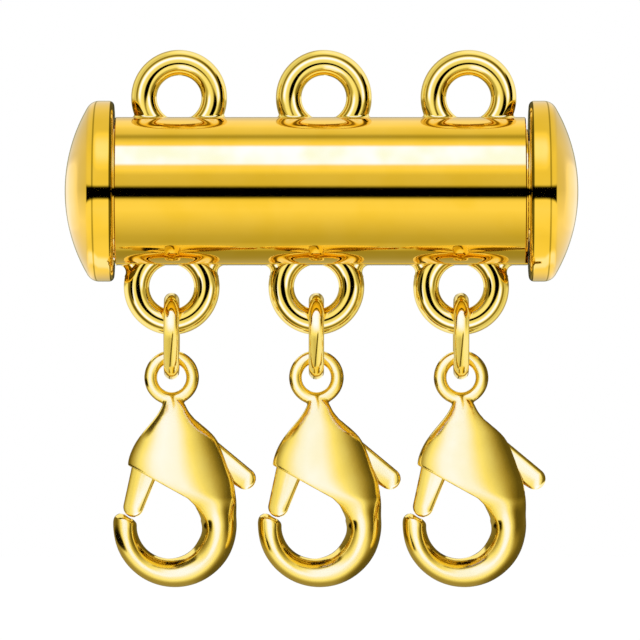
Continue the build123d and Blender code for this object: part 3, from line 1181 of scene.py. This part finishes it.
# %% Put up the tents
TENT_RADIUS, TENT_STEP = 1000.0, 10.0
CLOTH = (1.0, 1.0, 1.0, 1.0)
RICH = ((1.0, 1.0, 0.5, 1.0), (1.0, 1.6, 18.0, 1.0))
RICH_CAP = ((1.0, 1.0, 0.5, 1.0), (1.0, 1.45, 7.0, 1.0))
PALE = ((1.0, 0.8, 0.25, 1.0), (1.0, 1.3, 6.0, 1.0))
GLANCING_LAMP = (1.0, 1.15, 1.5, 1.0)
CLOTH_LEVELS, LAMP_LEVELS, GLANCING = (0.1, 0.95), (1.0, 2.7), (0.1, 0.9)
FULL = 1.08
tents = []


def tent(name, pieces, paint, colours):
    """A ball that glows inwards by a map and that only some pieces see.

    Dim cloth is a warm brown and full cloth is white. Above full level the light turns to the
    lamp's cool white, so that a highlight goes from gold through cream to white. At a glancing
    angle the metal is white by itself, so the lamp's colour is paler there.
    """
    mesh = bpy.data.meshes.new(name)
    work = bmesh.new()
    radius = (TENT_RADIUS + TENT_STEP * len(tents)) * MM
    bmesh.ops.create_icosphere(work, subdivisions=3, radius=radius)
    work.to_mesh(mesh)
    work.free()
    ball = in_scene(name, mesh)
    material = bpy.data.materials.new(name)
    bench = blank_bench(material)
    material.cycles.emission_sampling = "NONE"
    where = bench.add("ShaderNodeTexCoord", output="Object")
    way = bench.add("ShaderNodeVectorMath", {0: where}, {"operation": "NORMALIZE"})
    right, back, up = bench.parts(way)
    level = paint(right, back, up)
    shade, lamp = colours
    cloth = bench.mix(level.edge(*CLOTH_LEVELS), shade, CLOTH)
    lamp = bench.mix(back.edge(*GLANCING), lamp, GLANCING_LAMP)
    tint = bench.mix(level.edge(*LAMP_LEVELS), cloth, lamp)
    strength = level.maths("MINIMUM", level, FULL)
    glow = bench.add("ShaderNodeEmission", {"Color": tint, "Strength": strength})
    clear = bench.add("ShaderNodeBsdfTransparent")
    both = bench.add("ShaderNodeAddShader", {0: glow, 1: clear})
    bench.add("ShaderNodeOutputMaterial", {"Surface": both})
    mesh.materials.append(material)
    ball.visible_camera = ball.visible_diffuse = ball.visible_shadow = False
    seen_by = bpy.data.collections.new(name + "_pieces")
    for piece in pieces:
        seen_by.objects.link(piece)
    ball.light_linking.receiver_collection = seen_by
    ball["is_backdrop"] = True
    tents.append(ball)


tent("tube_tent", [outer_tube, inner_tube], tube_map, RICH)
tent("left_cap_tent", [left_cap], cap_map(-1), RICH_CAP)
tent("right_cap_tent", [right_cap], cap_map(1), RICH_CAP)
tent("upper_loop_tent", [upper_loops], loop_map(1), PALE)
tent("lower_loop_tent", [lower_loops], loop_map(-1), PALE)
tent("jump_ring_tent", jump_rings, ring_map, PALE)
tent("claw_tent", claws, claw_map, PALE)
tent("lever_tent", levers, lever_map, PALE)
bpy.context.scene.cycles.transparent_max_bounces = 2 * len(tents) + 4
print("tents", len(tents))


# %% The white behind and the light on the floor
SOFT_LIGHT = 1.1


def backdrop():
    """White for the camera and soft light for the floor; the gold mirrors neither."""
    world = bpy.data.worlds.new("studio")
    bpy.context.scene.world = world
    bench = blank_bench(world)
    seen = bench.add("ShaderNodeLightPath", output="Is Camera Ray")
    soft = bench.add("ShaderNodeLightPath", output="Is Diffuse Ray")
    light = {"Color": (1, 1, 1, 1), "Strength": seen + soft * SOFT_LIGHT}
    shader = bench.add("ShaderNodeBackground", light)
    bench.add("ShaderNodeOutputWorld", {"Surface": shader})


backdrop()

# %% The floor
FLOOR_DROP = 14.0
FLOOR_HALF = 600.0
PALE_PAINT = {"Base Color": (0.93, 0.93, 0.93, 1), "Roughness": 0.9, "Specular IOR Level": 0.0}
floor_z = cad_box[0].z / MM - FLOOR_DROP
corners = ((-1, -1), (1, -1), (1, 1), (-1, 1))
corners = [(a * FLOOR_HALF, b * FLOOR_HALF, floor_z) for a, b in corners]
floor = mesh_object("floor", corners, [[0, 1, 2, 3]])
pale = bpy.data.materials.new("pale_floor")
bench = blank_bench(pale)
paint = bench.add("ShaderNodeBsdfPrincipled", PALE_PAINT)
bench.add("ShaderNodeOutputMaterial", {"Surface": paint})
floor.data.materials.append(pale)
floor.visible_glossy = False
floor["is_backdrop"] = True

# %% [markdown]
# ## The camera
# The clasp is seen straight on through a long lens, level with the middle of the picture, so that
# its three claws look alike and neither cap shows its inner face.

# %% Place the camera
DISTANCE = 400.0
SENSOR = 36.0
PICTURE = 640
PIXEL = 1 / 23.34
LOOP_COLUMN, AXIS_ROW = 323.85, 191.2
camera_data = bpy.data.cameras.new("camera")
camera_data.sensor_width = SENSOR
camera_data.lens = SENSOR * DISTANCE / (PICTURE * PIXEL)
camera = in_scene("camera", camera_data)
centre_x = (PICTURE / 2 - LOOP_COLUMN) * PIXEL
centre_z = AXIS_Z - (PICTURE / 2 - AXIS_ROW) * PIXEL
camera.location = Vector((centre_x, -DISTANCE, centre_z)) * MM
camera.rotation_euler = (math.pi / 2, 0.0, 0.0)
camera_data.clip_start, camera_data.clip_end = 0.001, 10.0
bpy.context.scene.camera = camera
bpy.context.scene.view_settings.view_transform = "Standard"
print("lens", round(camera_data.lens, 1), "mm")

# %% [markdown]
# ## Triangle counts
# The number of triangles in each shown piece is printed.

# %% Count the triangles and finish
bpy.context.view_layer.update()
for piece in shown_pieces():
    print(piece.name, sum(len(p.vertices) - 2 for p in piece.data.polygons), "triangles")
